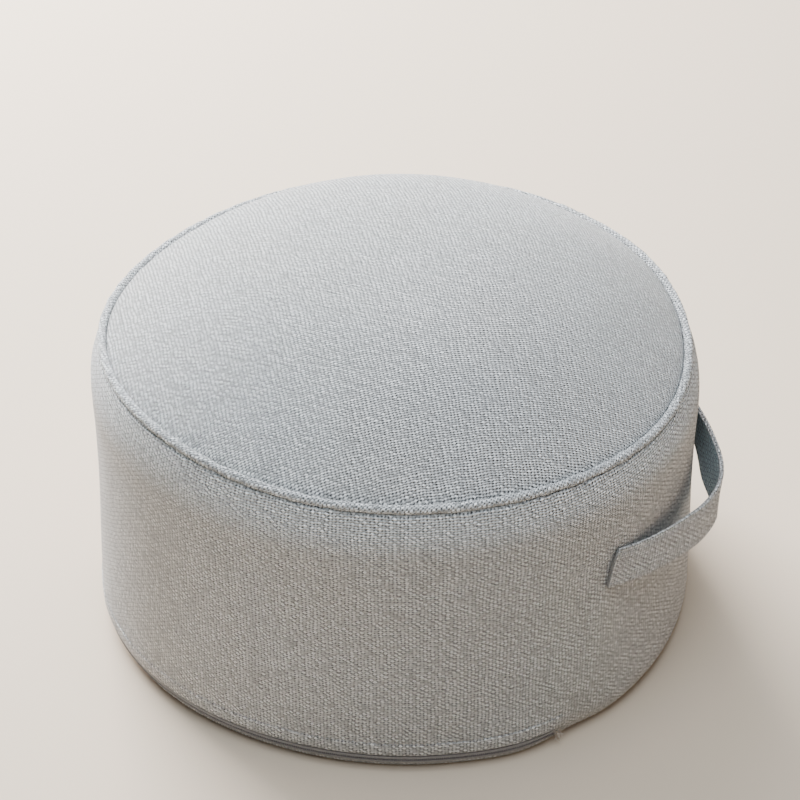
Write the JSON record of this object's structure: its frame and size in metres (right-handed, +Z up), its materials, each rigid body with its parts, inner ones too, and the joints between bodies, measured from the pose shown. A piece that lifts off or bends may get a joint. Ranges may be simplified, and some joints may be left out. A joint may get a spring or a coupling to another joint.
{
  "type": "floor pouf",
  "caption": "Round filled floor pouf in plain-weave cloth, with a domed top, a piped top seam, a carrying strap on the side and a zip along the bottom edge.",
  "frame": {"origin": "middle of the flat base, on the floor", "axes": "+Z up, +X out through the middle of the carrying strap, -Y towards the side with the zip"},
  "size_m": [0.4427, 0.4159, 0.2973],
  "materials": {
    "cover_cloth": "pale blue-grey plain weave, matte",
    "side_cloth": "pale grey plain weave, matte",
    "strap_cloth": "folded and stitched plain weave, matte",
    "zip_tape": "dark grey woven tape, matte",
    "zip_coil": "dark grey coil"
  },
  "bodies": {
    "root": {"side_panel": "side_cloth", "top_panel": "cover_cloth", "base_panel": "side_cloth", "piping": "cover_cloth", "handle": "strap_cloth", "zip_tape_upper": "zip_tape", "zip_tape_lower": "zip_tape", "zip_coil": "zip_coil"}
  },
  "joints": []
}
